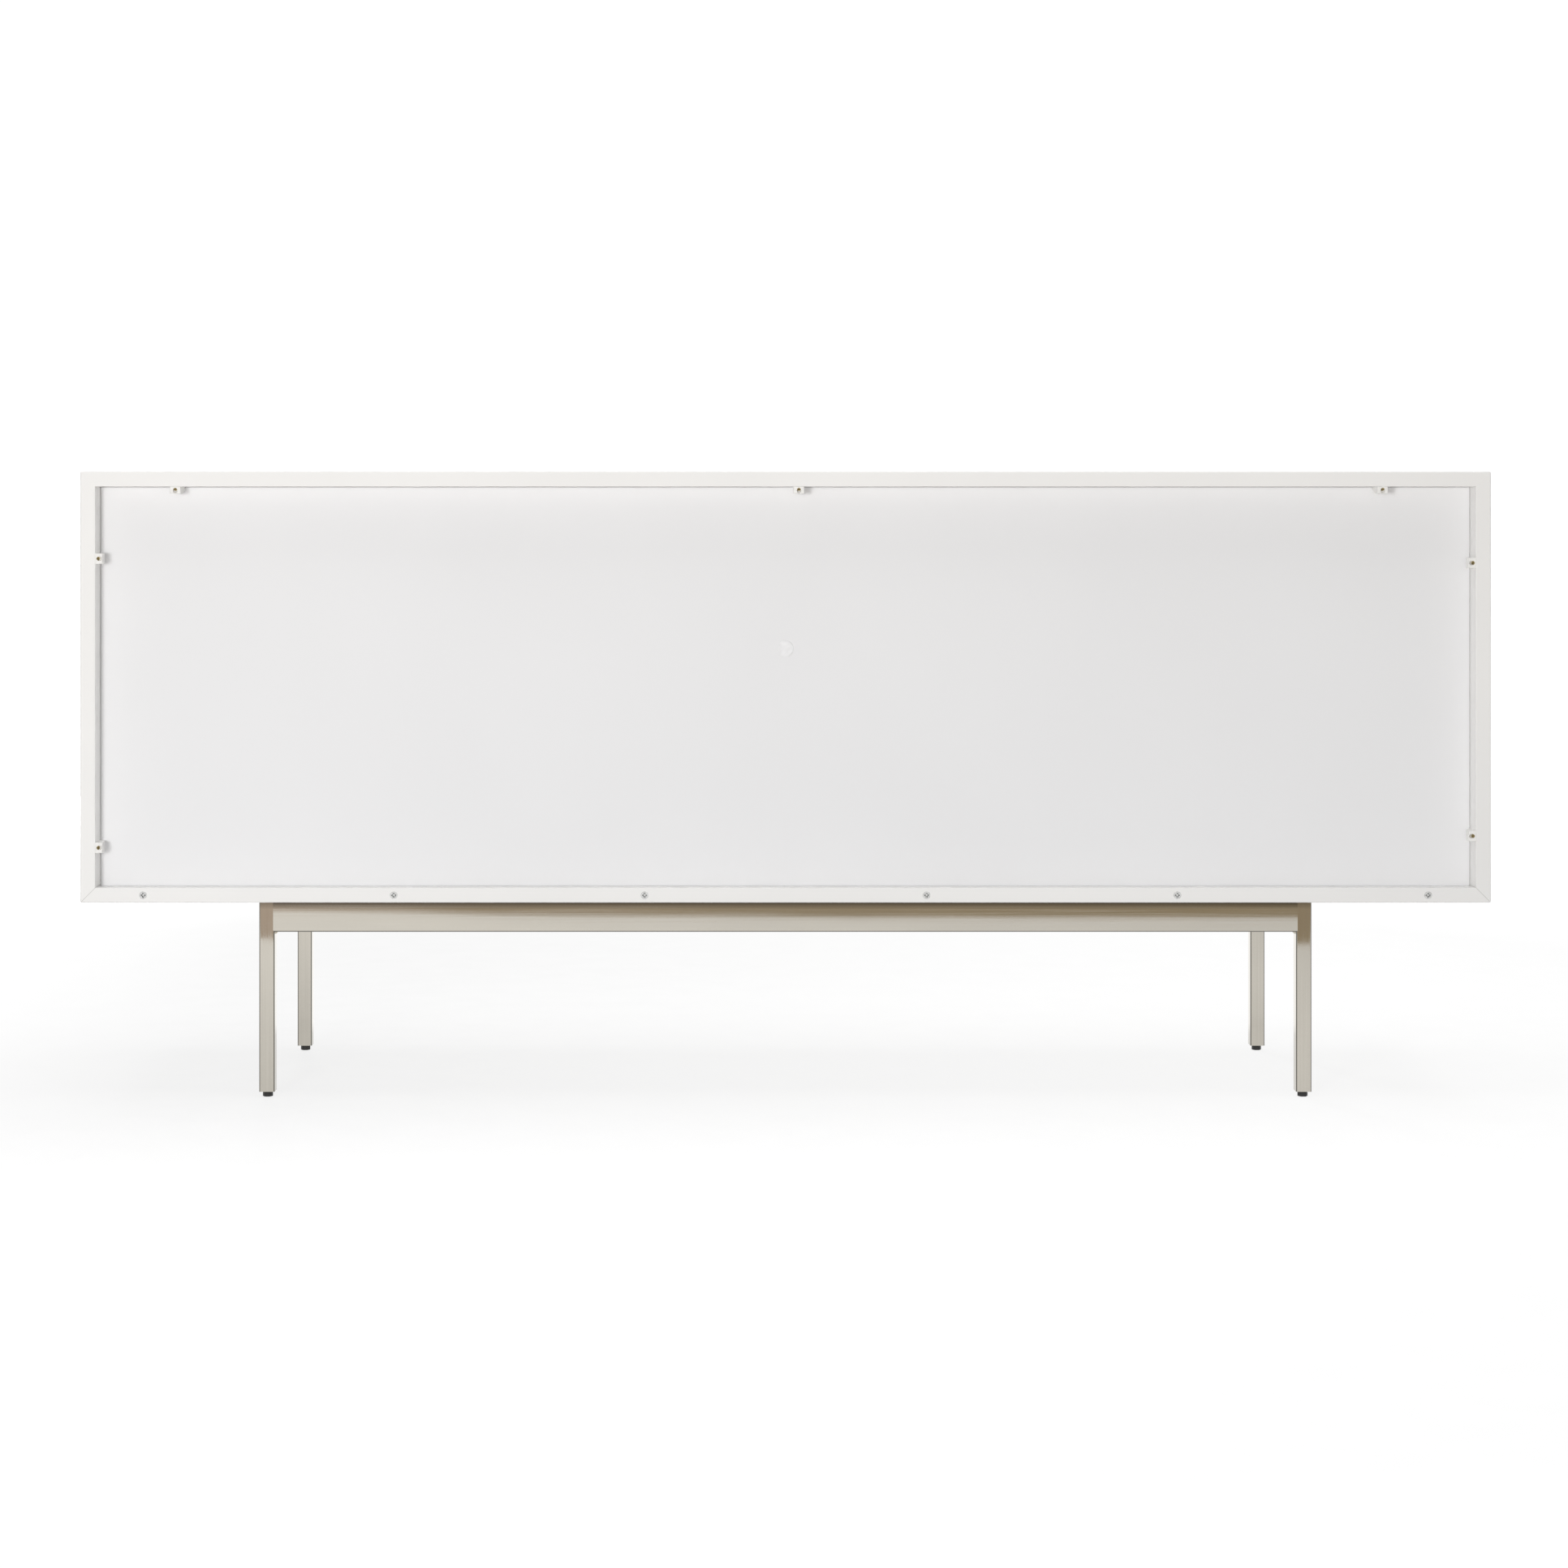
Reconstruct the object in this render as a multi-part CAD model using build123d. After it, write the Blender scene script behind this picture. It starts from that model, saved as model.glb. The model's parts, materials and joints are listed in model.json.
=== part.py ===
from build123d import *
import math
import os

# A low media cabinet: a white lacquered case with four push-to-open doors,
# standing on a brushed steel frame with levelling feet.
# Millimetres, +Z up. The origin is on the floor under the middle of the cabinet.
# The doors face -Y and the back faces +Y. Left and right are as seen from the doors.

# ---- Driving dimensions ------------------------------------------------------

case_width = 1800.0
case_depth = 430.0
case_height = 550.0
leg_length = 245.0
foot_height = 7.0           # how much of a levelling foot shows under its leg

board = 22.0                # thickness of the case boards
rear_board = 19.0           # what is left of a board behind the back panel's seat
recess_depth = 33.0         # from the rear edges in to the back panel
groove_drop = 4.0           # how far the panel's foot stands below the rear rail's top
edge_round = 1.5
corner_round = 2.0
inner_round = 1.0

rear_rail_depth = 18.0      # the loose strip that closes the case along its foot
rear_rail_screw_x = (-820.0, -500.0, -180.0, 180.0, 500.0, 820.0)

panel_thickness = 5.0
panel_play = 0.5
panel_screw_z = 575.0
cap_diameter = 21.5
cap_thickness = 1.0
cap_round = 0.6

clip_width = 13.5
clip_height = 9.0
clip_side_depth = 15.0
clip_toe = 3.0
clip_round = 0.8
clip_pocket_play = 0.1
clip_screw_tilt = 40.0
clip_screw_sink = 2.2       # from the rear edges in to the middle of the screw's head
clip_screw_rise = 3.4       # from the wall to the middle of the screw's head
top_clip_x = (779.0, -17.0, -762.0)
right_clip_z = (691.0, 322.0)
left_clip_z = (685.5, 337.0)

divider_thickness = 19.0
shelf_thickness = 19.0
shelf_z = 510.0             # underside of each shelf
shelf_play = 1.0
inside_setback = 8.0        # free depth behind the doors for their hinge edges
shelf_setback = 8.0
shelf_rear_gap = 5.0        # between a shelf and the back panel
pin_inset = 40.0            # from a shelf's front and rear edges in to its pins
pin_diameter = 5.0
pin_length = 16.0
pin_pitch = 64.0

door_thickness = 19.0
door_round = 1.0
side_gap = 2.5
meeting_gap = 3.0
end_gap = 2.5

pivot_inset = 13.0          # from a door's hinge edge in to its pivot
pivot_setback = 6.5         # from a door's front face back to its pivot
leaf_length = 50.0
leaf_width = 10.0
leaf_thickness = 2.5
leaf_screw_reach = (20.0, 37.5)     # from a pivot to the two screws of its leaf
pivot_diameter = 4.5
pivot_socket = 6.0          # diameter of the blind hole a pin's end turns in
pivot_reach = 1.0           # how far a pin's end stands out of a door's leaf
pivot_clearance = 0.05
washer_diameter = 9.0

latch_inset = 30.0          # from a door's free edge to its latch
latch_width = 14.0
latch_height = 16.0
latch_length = 50.0
latch_axis_drop = 9.0
latch_round = 1.5
latch_screw_offset = 11.0
latch_flange_lap = 2.0
latch_flange_width = 34.0
latch_flange_length = 14.0
latch_flange_thickness = 3.0
plunger_diameter = 7.0
plunger_length = 49.0
plunger_gap = 0.4
plunger_travel = 3.0
plunger_end_room = 1.0      # behind the plunger at the end of its travel
strike_diameter = 10.0
strike_thickness = 1.5

frame_width = 1350.0
frame_depth = 370.0
frame_rear_inset = 20.0
tube = 20.0
tube_round = 2.0
tube_wall = 1.5
rail_height = 40.0
weld_radius = 3.0

tab_x = (-450.0, 0.0, 450.0)
tab_length = 40.0
tab_width = 30.0
tab_thickness = 3.0
tab_round = 5.0

insert_height = 20.0
stud_diameter = 8.0
stud_length = 30.0
stud_chamfer = 0.8
glide_diameter = 13.0
glide_round = 1.5
glide_flat = 12.2           # across the six flats that a fitter turns

dowel_diameter = 8.0
mitre_dowel_length = 24.0
mitre_dowel_offset = 14.0   # along the mitre, from the outside of both boards
divider_dowel_length = 30.0
dowel_y = (-180.0, -100.0, -20.0, 60.0, 140.0)

# Screws: head diameter, shank diameter, length
rear_rail_screw = (10.0, 5.0, 45.0)
panel_screw = (8.0, 4.0, 35.0)
clip_screw = (5.4, 3.0, 20.0)
leaf_screw = (6.0, 3.0, 16.0)
latch_screw = (6.0, 3.0, 12.0)
frame_screw = (10.0, 5.0, 16.0)

# A screw's cross recess, as shares of its head's diameter
recess_reach = 0.6
recess_foot = 0.24
recess_slot = 0.13
recess_sink = 0.26
screw_tip = 0.8             # diameter of a screw's blunt tip

# ---- Places worked out from the driving dimensions ------------------------------

half_width = case_width / 2
front_y = -case_depth / 2
rear_y = case_depth / 2
case_bottom = foot_height + leg_length
case_top = case_bottom + case_height
inside_x = half_width - board
inside_bottom = case_bottom + board
inside_top = case_top - board
recess_x = half_width - rear_board
recess_top = case_top - rear_board
rear_rail_top = case_bottom + rear_board
groove_floor = rear_rail_top - groove_drop
panel_rear = rear_y - recess_depth
panel_front = panel_rear - panel_thickness
rear_rail_front = rear_y - rear_rail_depth

door_back = front_y + door_thickness
inside_front = door_back + inside_setback
shelf_front = inside_front + shelf_setback
shelf_rear = panel_front - shelf_rear_gap
divider_x = divider_thickness / 2
door_width = (inside_x - 2 * side_gap - meeting_gap) / 2
door_bottom = inside_bottom + end_gap
door_top = inside_top - end_gap
pivot_y = front_y + pivot_setback

frame_rear = rear_y - frame_rear_inset
frame_front = frame_rear - frame_depth
leg_x = frame_width / 2 - tube / 2
leg_rear_y = frame_rear - tube / 2
leg_front_y = frame_front + tube / 2
rail_bottom = case_bottom - rail_height

# Each door: its hinge edge, and the direction from there across the door
doors = {
    "left_outer_door": (-inside_x + side_gap, 1),
    "left_inner_door": (-side_gap, -1),
    "right_inner_door": (side_gap, 1),
    "right_outer_door": (inside_x - side_gap, -1),
}

# Each leg: its middle
legs = {
    "front_left": (-leg_x, leg_front_y),
    "front_right": (leg_x, leg_front_y),
    "rear_left": (-leg_x, leg_rear_y),
    "rear_right": (leg_x, leg_rear_y),
}

# ---- Small shapes ------------------------------------------------------------------

from_base = (Align.CENTER, Align.CENTER, Align.MIN)
from_top = (Align.CENTER, Align.CENTER, Align.MAX)


def block(x, y, z):
    """A box given by the two ends of its reach along each axis."""
    low = (min(x), min(y), min(z))
    size = (abs(x[1] - x[0]), abs(y[1] - y[0]), abs(z[1] - z[0]))
    return Pos(*low) * Box(*size, align=(Align.MIN, Align.MIN, Align.MIN))


def rod(start, direction, radius, length):
    """A round bar that starts at a point and runs along a direction."""
    return Plane(origin=start, z_dir=direction) * Cylinder(radius, length, align=from_base)


def prism(points, y_ends):
    """A straight bar along Y, whose section is an outline in X and Z."""
    face = Plane.XZ * Polygon(*points, align=None)
    middle = (y_ends[0] + y_ends[1]) / 2
    return Pos(0, middle, 0) * extrude(face, (y_ends[1] - y_ends[0]) / 2, both=True)


def screw_body(size):
    """A countersunk screw without its recess: head face at the origin, tip towards -Z."""
    head, shank, length = size
    cone = Cone(shank / 2, head / 2, (head - shank) / 2, align=from_top)
    return cone + Cylinder(shank / 2, length, align=from_top)


def screw(size):
    """The same screw with a cross recess in its head and a pointed tip."""
    head, shank, length = size
    depth = head * recess_sink
    wing = Box(head * recess_reach, head * recess_slot, depth, align=from_top)
    taper = Cone(head * recess_foot / 2, head * recess_reach / 2, depth, align=from_top)
    cross = (wing + Rot(0, 0, 90) * wing) & taper
    tip_length = shank * 1.5
    around = Cylinder(shank, tip_length, align=from_base)
    point = Cone(screw_tip / 2, shank / 2, tip_length, align=from_base)
    return screw_body(size) - Pos(0, 0, -length) * (around - point) - cross


def save(name, shapes):
    """Write one node: a solid, or a group of separate solids."""
    solids = [solid for shape in shapes for solid in shape.solids()]
    whole = solids[0] if len(solids) == 1 else Compound(children=solids)
    whole.label = name
    export_step(whole, "parts/" + name + ".step")


# ---- Fasteners and fittings whose holes the boards need ---------------------------------


def rear_rail_screw_places():
    middle = case_bottom + rear_board / 2
    return [Plane(origin=(x, rear_y, middle), z_dir=(0, 1, 0)) for x in rear_rail_screw_x]


def clip_places():
    """One plane for each clip: its x runs into the recess and its y away from the wall."""
    top = [Plane(origin=(x, rear_y, recess_top), x_dir=(0, -1, 0), z_dir=(1, 0, 0)) for x in top_clip_x]
    right = [Plane(origin=(recess_x, rear_y, z), x_dir=(0, -1, 0), z_dir=(0, 0, -1)) for z in right_clip_z]
    left = [Plane(origin=(-recess_x, rear_y, z), x_dir=(0, -1, 0), z_dir=(0, 0, 1)) for z in left_clip_z]
    return top, left, right


def clip_screw_place():
    """Where the screw's head sits in a clip, in the clip's own frame."""
    tilt = math.radians(clip_screw_tilt)
    return Plane(origin=(clip_screw_sink, clip_screw_rise, 0), z_dir=(-math.cos(tilt), math.sin(tilt), 0))


def mitre_dowels():
    """Dowels square to the mitres, in all four corners."""
    dowels = []
    for side in (-1, 1):
        for z, up in ((case_top, 1), (case_bottom, -1)):
            x = side * (half_width - mitre_dowel_offset)
            height = z - up * mitre_dowel_offset
            for y in dowel_y:
                place = Plane(origin=(x, y, height), z_dir=(side, 0, -up))
                dowels.append(place * Cylinder(dowel_diameter / 2, mitre_dowel_length))
    return dowels


def divider_dowels():
    """Upright dowels that hold the divider between the top and the bottom."""
    dowels = []
    for z in (inside_bottom, inside_top):
        for y in dowel_y[1:]:
            start = (0, y, z - divider_dowel_length / 2)
            dowels.append(rod(start, (0, 0, 1), dowel_diameter / 2, divider_dowel_length))
    return dowels


def leaf_shape(hinge_x, across, z_low):
    """A flat bar with one round end about the pivot, running across the door."""
    radius = leaf_width / 2
    pivot_x = hinge_x + across * pivot_inset
    far_x = pivot_x + across * (leaf_length - leaf_width)
    bar = block((pivot_x, far_x), (pivot_y - radius, pivot_y + radius), (z_low, z_low + leaf_thickness))
    for x in (pivot_x, far_x):
        bar += rod((x, pivot_y, z_low), (0, 0, 1), radius, leaf_thickness)
    return bar


def leaf_screw_places(hinge_x, across, z_face, outward):
    """The two screws of a leaf whose open face is at z_face and looks up (1) or down (-1)."""
    pivot_x = hinge_x + across * pivot_inset
    middles = [pivot_x + across * reach for reach in leaf_screw_reach]
    return [Plane(origin=(x, pivot_y, z_face), z_dir=(0, 0, outward)) for x in middles]


def case_leaves():
    """The eight plates let into the bottom and the top: shape, screws, and pivot start."""
    for hinge_x, across in doors.values():
        low = leaf_shape(hinge_x, across, inside_bottom - leaf_thickness)
        yield low, leaf_screw_places(hinge_x, across, inside_bottom, 1), hinge_x, across, 1
        high = leaf_shape(hinge_x, across, inside_top)
        yield high, leaf_screw_places(hinge_x, across, inside_top, -1), hinge_x, across, -1


def pivot_pin(hinge_x, across, up):
    """A pin pressed into a case plate, standing up from the bottom or down from the top."""
    start_z = inside_bottom - leaf_thickness if up == 1 else inside_top + leaf_thickness
    length = leaf_thickness + end_gap + leaf_thickness + pivot_reach
    start = (hinge_x + across * pivot_inset, pivot_y, start_z)
    return rod(start, (0, 0, up), pivot_diameter / 2, length)


def latch_x(hinge_x, across):
    return hinge_x + across * (door_width - latch_inset)


def latch_screw_places():
    places = []
    y = inside_front + latch_length + latch_flange_length / 2
    z = inside_top - latch_flange_thickness
    for hinge_x, across in doors.values():
        for offset in (-latch_screw_offset, latch_screw_offset):
            places.append(Plane(origin=(latch_x(hinge_x, across) + offset, y, z), z_dir=(0, 0, -1)))
    return places


def frame_screw_places():
    places = []
    z = case_bottom - tab_thickness
    for x in tab_x:
        places.append(Plane(origin=(x, frame_rear - tube - tab_width / 2, z), z_dir=(0, 0, -1)))
        places.append(Plane(origin=(x, frame_front + tube + tab_width / 2, z), z_dir=(0, 0, -1)))
    return places


def shelf_pin_rods(z):
    """The rods that stand out of the walls below both shelves, at one height."""
    rods = []
    wall_starts = (
        (-inside_x - pin_length / 2, -divider_x - pin_length / 2),
        (divider_x - pin_length / 2, inside_x - pin_length / 2),
    )
    for starts in wall_starts:
        for start_x in starts:
            for y in (shelf_front + pin_inset, shelf_rear - pin_inset):
                rods.append(rod((start_x, y, z), (1, 0, 0), pin_diameter / 2, pin_length))
    return rods


# ---- The case ----------------------------------------------------------------------------


def case_shell():
    """The whole box in one piece, before the mitres part it: rounded, hollow, rebated."""
    shell = block((-half_width, half_width), (front_y, rear_y), (case_bottom, case_top))
    shell = fillet(shell.edges().filter_by(Axis.Y), corner_round)
    for end in (0, -1):
        shell = fillet(shell.faces().sort_by(Axis.Y)[end].outer_wire().edges(), edge_round)
    inside = block((-inside_x, inside_x), (front_y, rear_y), (inside_bottom, inside_top))
    recess = block((-recess_x, recess_x), (panel_front, rear_y), (rear_rail_top, recess_top))
    shell = shell - inside - recess
    for end in (0, -1):
        shell = fillet(shell.faces().sort_by(Axis.Y)[end].inner_wires()[0].edges(), inner_round)
    return shell


def mitre_wedge(side):
    """The part of the cross-section that belongs to one board: top, bottom, left or right."""
    past = board / 4
    deep = board * 1.4
    x_out, x_in = half_width + past, half_width - deep
    top_out, top_in = case_top + past, case_top - deep
    low_out, low_in = case_bottom - past, case_bottom + deep
    outlines = {
        "top": ((-x_out, top_out), (x_out, top_out), (x_in, top_in), (-x_in, top_in)),
        "bottom": ((-x_out, low_out), (-x_in, low_in), (x_in, low_in), (x_out, low_out)),
        "left": ((-x_out, top_out), (-x_in, top_in), (-x_in, low_in), (-x_out, low_out)),
        "right": ((x_out, top_out), (x_out, low_out), (x_in, low_in), (x_in, top_in)),
    }
    return prism(outlines[side], (front_y - past, rear_y + past))


def make_case():
    shell = case_shell()
    top = shell & mitre_wedge("top")
    left = shell & mitre_wedge("left")
    right = shell & mitre_wedge("right")
    foot = shell & mitre_wedge("bottom")

    behind = block((-half_width, half_width), (rear_rail_front, rear_y), (case_bottom, case_top))
    rear_rail = foot & behind
    bottom = foot - behind
    bottom -= block((-recess_x, recess_x), (panel_front, rear_rail_front), (groove_floor, inside_bottom))

    divider = block((-divider_x, divider_x), (inside_front, panel_front), (inside_bottom, inside_top))
    for dowel in mitre_dowels():
        if dowel.center().X > 0:
            right = right - dowel
        else:
            left = left - dowel
    for dowel in divider_dowels():
        divider = divider - dowel
    for dowel in mitre_dowels() + divider_dowels():
        if dowel.center().Z > case_bottom + case_height / 2:
            top = top - dowel
        else:
            bottom = bottom - dowel

    for leaf, screws, hinge_x, across, up in case_leaves():
        holes = [place * screw_body(leaf_screw) for place in screws]
        if up == 1:
            bottom = bottom - leaf - holes
        else:
            top = top - leaf - holes

    top = top - [place * screw_body(latch_screw) for place in latch_screw_places()]
    bottom = bottom - [place * screw_body(frame_screw) for place in frame_screw_places()]

    rail_holes = [place * screw_body(rear_rail_screw) for place in rear_rail_screw_places()]
    rear_rail = rear_rail - rail_holes
    bottom = bottom - rail_holes

    seat = clip_screw_place()
    top_clips, left_clips, right_clips = clip_places()
    top = top - [place * (seat * screw_body(clip_screw)) for place in top_clips]
    left = left - [place * (seat * screw_body(clip_screw)) for place in left_clips]
    right = right - [place * (seat * screw_body(clip_screw)) for place in right_clips]

    for step in (-1, 0, 1):
        holes = shelf_pin_rods(shelf_z - pin_diameter / 2 + step * pin_pitch)
        left = left - holes[0:2]
        divider = divider - holes[2:6]
        right = right - holes[6:8]

    panel_screw_plane = Plane(origin=(0, panel_rear, panel_screw_z), z_dir=(0, 1, 0))
    divider = divider - panel_screw_plane * screw_body(panel_screw)

    save("top_panel", [top])
    save("bottom_panel", [bottom])
    save("left_side_panel", [left])
    save("right_side_panel", [right])
    save("centre_divider", [divider])
    save("bottom_rear_rail", [rear_rail])
    save("rear_rail_screws", [place * screw(rear_rail_screw) for place in rear_rail_screw_places()])
    save("mitre_dowels", mitre_dowels())
    save("divider_dowels", divider_dowels())


def make_shelves():
    reach = (divider_x + shelf_play, inside_x - shelf_play)
    for name, side in (("left_shelf", -1), ("right_shelf", 1)):
        ends = (side * reach[0], side * reach[1])
        shelf = block(ends, (shelf_front, shelf_rear), (shelf_z, shelf_z + shelf_thickness))
        save(name, [fillet(shelf.faces().sort_by(Axis.Y)[0].edges(), door_round)])
    save("shelf_pins", shelf_pin_rods(shelf_z - pin_diameter / 2))


def make_back_panel():
    panel = block(
        (-recess_x + panel_play, recess_x - panel_play),
        (panel_front, panel_rear),
        (groove_floor, recess_top - panel_play),
    )
    place = Plane(origin=(0, panel_rear, panel_screw_z), z_dir=(0, 1, 0))
    save("back_panel", [panel - place * screw_body(panel_screw)])
    save("back_panel_screw", [place * screw(panel_screw)])
    cap = Cylinder(cap_diameter / 2, cap_thickness, align=from_base)
    cap = fillet(cap.edges().sort_by(Axis.Z)[-1], cap_round)
    save("screw_cover_cap", [place * cap])


def clip_shape():
    """A wedge that leans on a wall, with a toe on the back panel and a slanted screw hole."""
    outline = (
        (0, 0),
        (recess_depth, 0),
        (recess_depth, clip_toe),
        (clip_side_depth, clip_height),
        (0, clip_height),
    )
    wedge = extrude(Polygon(*outline, align=None), clip_width / 2, both=True)
    wedge = fillet(wedge.faces().sort_by(Axis.X)[0].edges().sort_by(Axis.Y)[1:], clip_round)
    seat = clip_screw_place()
    pocket = Cylinder(clip_screw[0] / 2 + clip_pocket_play, clip_height, align=from_base)
    return wedge - seat * pocket - seat * screw_body(clip_screw)


def make_clips():
    top_clips, left_clips, right_clips = clip_places()
    clip = clip_shape()
    save("top_panel_clips", [place * clip for place in top_clips])
    save("side_panel_clips", [place * clip for place in left_clips + right_clips])
    seat = clip_screw_place()
    screws = [place * (seat * screw(clip_screw)) for place in top_clips + left_clips + right_clips]
    save("clip_screws", screws)


# ---- Doors, their pivots and their latches -------------------------------------------------


def make_door(name, hinge_x, across):
    free_x = hinge_x + across * door_width
    pivot_x = hinge_x + across * pivot_inset
    slab = block((hinge_x, free_x), (front_y, door_back), (door_bottom, door_top))
    slab = fillet(slab.edges(), door_round)

    low = leaf_shape(hinge_x, across, door_bottom)
    high = leaf_shape(hinge_x, across, door_top - leaf_thickness)
    places = leaf_screw_places(hinge_x, across, door_bottom, -1)
    places += leaf_screw_places(hinge_x, across, door_top, 1)
    holes = [place * screw_body(leaf_screw) for place in places]
    bore_radius = pivot_diameter / 2 + pivot_clearance
    bore = rod((pivot_x, pivot_y, door_bottom), (0, 0, 1), bore_radius, door_top - door_bottom)
    relief = 2.0 * leaf_thickness
    sockets = rod((pivot_x, pivot_y, door_bottom), (0, 0, 1), pivot_socket / 2, relief)
    sockets += rod((pivot_x, pivot_y, door_top), (0, 0, -1), pivot_socket / 2, relief)

    strike_x = latch_x(hinge_x, across)
    strike_z = inside_top - latch_axis_drop
    strike = rod((strike_x, door_back, strike_z), (0, -1, 0), strike_diameter / 2, strike_thickness)

    save(name, [slab - low - high - sockets - holes - strike])
    save(name + "_leaves", [low - bore - holes, high - bore - holes])
    save(name + "_leaf_screws", [place * screw(leaf_screw) for place in places])
    save(name + "_strike", [strike])


def make_pivots():
    plates = []
    pins = []
    screws = []
    washers = []
    for leaf, places, hinge_x, across, up in case_leaves():
        pin = pivot_pin(hinge_x, across, up)
        plates.append(leaf - pin - [place * screw_body(leaf_screw) for place in places])
        pins.append(pin)
        screws += [place * screw(leaf_screw) for place in places]
        if up == 1:
            start = (hinge_x + across * pivot_inset, pivot_y, inside_bottom)
            washers.append(rod(start, (0, 0, 1), washer_diameter / 2, end_gap - pivot_clearance) - pin)
    save("case_pivot_plates", plates)
    save("pivot_pins", pins)
    save("pivot_washers", washers)
    save("pivot_plate_screws", screws)


def make_latches():
    housings = []
    z_axis = inside_top - latch_axis_drop
    for name, (hinge_x, across) in doors.items():
        x = latch_x(hinge_x, across)
        sides = (x - latch_width / 2, x + latch_width / 2)
        ends = (inside_front, inside_front + latch_length)
        body = block(sides, ends, (inside_top - latch_height, inside_top))
        body = fillet(body.faces().sort_by(Axis.Z)[0].edges(), latch_round)
        wings = (x - latch_flange_width / 2, x + latch_flange_width / 2)
        flange_ends = (ends[1] - latch_flange_lap, ends[1] + latch_flange_length)
        body += block(wings, flange_ends, (inside_top - latch_flange_thickness, inside_top))
        tip = (x, door_back + plunger_gap, z_axis)
        bore_length = plunger_length + plunger_travel + plunger_end_room
        body -= rod(tip, (0, 1, 0), plunger_diameter / 2 + pivot_clearance, bore_length)
        housings.append(body - [place * screw_body(latch_screw) for place in latch_screw_places()])
        plunger = rod(tip, (0, 1, 0), plunger_diameter / 2, plunger_length)
        plunger = fillet(plunger.edges().sort_by(Axis.Y)[0], latch_round)
        save(name.replace("door", "plunger"), [plunger])
    save("latch_housings", housings)
    save("latch_screws", [place * screw(latch_screw) for place in latch_screw_places()])


# ---- The steel frame ------------------------------------------------------------------------


def square_tube(width, depth, length):
    """A tube along +Z from the origin, with rounded corners and a hollow of even wall."""
    outer = extrude(RectangleRounded(width, depth, tube_round), length)
    hollow = RectangleRounded(width - 2 * tube_wall, depth - 2 * tube_wall, tube_round - tube_wall)
    return outer - extrude(hollow, length)


def leg_solid(x, y):
    """A leg's outer shape, filled, for cutting the rail ends that fit it."""
    return Pos(x, y, foot_height) * extrude(RectangleRounded(tube, tube, tube_round), leg_length)


def make_frame():
    leg_shapes = [leg_solid(x, y) for x, y in legs.values()]
    z_middle = case_bottom - rail_height / 2

    long_reach = 2 * (leg_x - tube / 2 + tube_round)
    long_ends = (-long_reach / 2, long_reach / 2)
    long_blocks = []
    for name, y in (("frame_rear_rail", leg_rear_y), ("frame_front_rail", leg_front_y)):
        start = Plane(origin=(long_ends[0], y, z_middle), x_dir=(0, 0, 1), z_dir=(1, 0, 0))
        save(name, [start * square_tube(rail_height, tube, long_reach) - leg_shapes])
        long_blocks.append(block(long_ends, (y - tube / 2, y + tube / 2), (rail_bottom, case_bottom)))

    short_reach = leg_rear_y - leg_front_y - tube + 2 * tube_round
    start_y = leg_front_y + tube / 2 - tube_round
    for name, x in (("frame_left_rail", -leg_x), ("frame_right_rail", leg_x)):
        start = Plane(origin=(x, start_y, z_middle), x_dir=(0, 0, 1), z_dir=(0, 1, 0))
        save(name, [start * square_tube(rail_height, tube, short_reach) - leg_shapes - long_blocks])

    inserts = []
    for name, (x, y) in legs.items():
        save(name + "_leg", [Pos(x, y, foot_height) * square_tube(tube, tube, leg_length)])
        hollow = tube - 2 * tube_wall
        plug = extrude(RectangleRounded(hollow, hollow, tube_round - tube_wall), insert_height)
        plug -= Cylinder(stud_diameter / 2 + pivot_clearance, 3 * insert_height)
        inserts.append(Pos(x, y, foot_height) * plug)
    save("leg_inserts", inserts)
    save("frame_welds", frame_welds())


def weld_fillet(length):
    """A concave bead in the corner between -X and +Z of the origin, centred along Y."""
    square = Pos(weld_radius / 2, -weld_radius / 2) * Rectangle(weld_radius, weld_radius)
    bead = square - Pos(weld_radius, -weld_radius) * Circle(weld_radius)
    return extrude(Plane.XZ * bead, length / 2, both=True)


def frame_welds():
    """Beads below both ends of each rail."""
    bead = weld_fillet(tube - 2 * tube_round)
    welds = []
    for x, y in legs.values():
        side = 1 if x > 0 else -1
        end = 1 if y > leg_front_y else -1
        turn = 180 if side == 1 else 0
        welds.append(Pos(x - side * tube / 2, y, rail_bottom) * Rot(0, 0, turn) * bead)
        turn = -90 if end == 1 else 90
        welds.append(Pos(x, y - end * tube / 2, rail_bottom) * Rot(0, 0, turn) * bead)
    return welds


def make_frame_fixings():
    tabs = []
    screws = [place * screw_body(frame_screw) for place in frame_screw_places()]
    for x in tab_x:
        sides = (x - tab_length / 2, x + tab_length / 2)
        heights = (case_bottom - tab_thickness, case_bottom)
        rear = block(sides, (frame_rear - tube - tab_width, frame_rear - tube), heights)
        front = block(sides, (frame_front + tube, frame_front + tube + tab_width), heights)
        tabs.append(fillet(rear.edges().filter_by(Axis.Z).sort_by(Axis.Y)[:2], tab_round) - screws)
        tabs.append(fillet(front.edges().filter_by(Axis.Z).sort_by(Axis.Y)[-2:], tab_round) - screws)
    save("frame_tabs", tabs)
    save("frame_screws", [place * screw(frame_screw) for place in frame_screw_places()])


def make_feet():
    """A steel stud in a black glide, one for each leg."""
    for name, (x, y) in legs.items():
        glide = Cylinder(glide_diameter / 2, foot_height, align=from_base)
        hexagon = RegularPolygon(glide_flat / 2, 6, major_radius=False)
        glide = glide & extrude(hexagon, foot_height)
        glide = fillet(glide.faces().sort_by(Axis.Z)[0].edges(), glide_round)
        stud = Cylinder(stud_diameter / 2, stud_length, align=from_base)
        stud = chamfer(stud.edges().sort_by(Axis.Z)[-1], stud_chamfer)
        save(name + "_foot", [Pos(x, y, 0) * glide, Pos(x, y, foot_height) * stud])


# ---- Build --------------------------------------------------------------------------------------

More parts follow.
